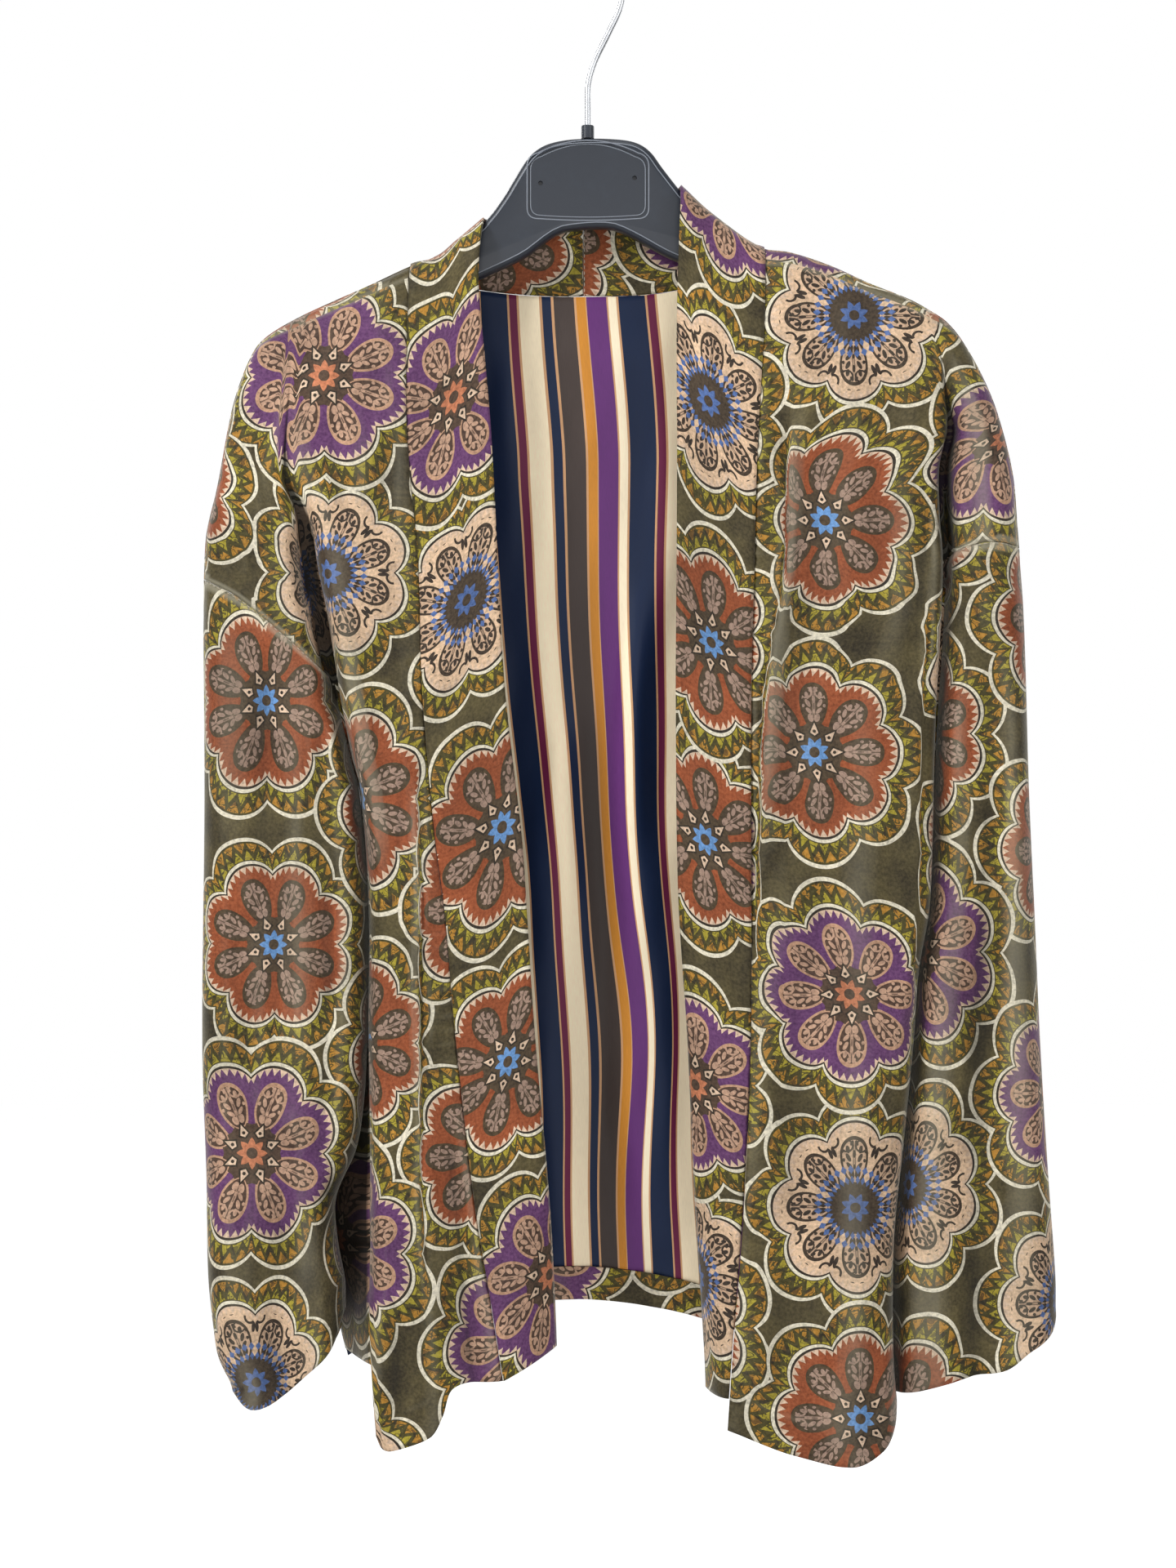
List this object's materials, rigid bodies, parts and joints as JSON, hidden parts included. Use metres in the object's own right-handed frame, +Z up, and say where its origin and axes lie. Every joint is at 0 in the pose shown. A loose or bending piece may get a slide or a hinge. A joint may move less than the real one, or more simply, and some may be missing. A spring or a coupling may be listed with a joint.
{
  "type": "velvet kaftan jacket on a clothes hanger",
  "caption": "Open-front velvet kaftan jacket with drop-shoulder sleeves, a neck band and a striped back lining, hanging from a moulded hanger with a wire hook.",
  "frame": {"origin": "inside top of the hanger's hook, where a rail or a nail carries it", "axes": "+Z up, -Y towards the garment's open front, +X towards the wearer's left"},
  "size_m": [0.4761, 0.0756, 0.854],
  "materials": {
    "velvet": "printed velvet with a short soft nap",
    "lining_satin": "striped satin",
    "hanger_plastic": "moulded, satin",
    "hook_steel": "bright wire"
  },
  "bodies": {
    "root": {"front_right": "velvet", "front_left": "velvet", "back_panel": "velvet", "sleeve_right": "velvet", "sleeve_left": "velvet", "band_right": "velvet", "band_left": "velvet", "back_hem": "velvet", "back_lining": "lining_satin", "hanger_body": "hanger_plastic", "hanger_ferrule": "hanger_plastic", "hanger_hook": "hook_steel"}
  },
  "joints": []
}
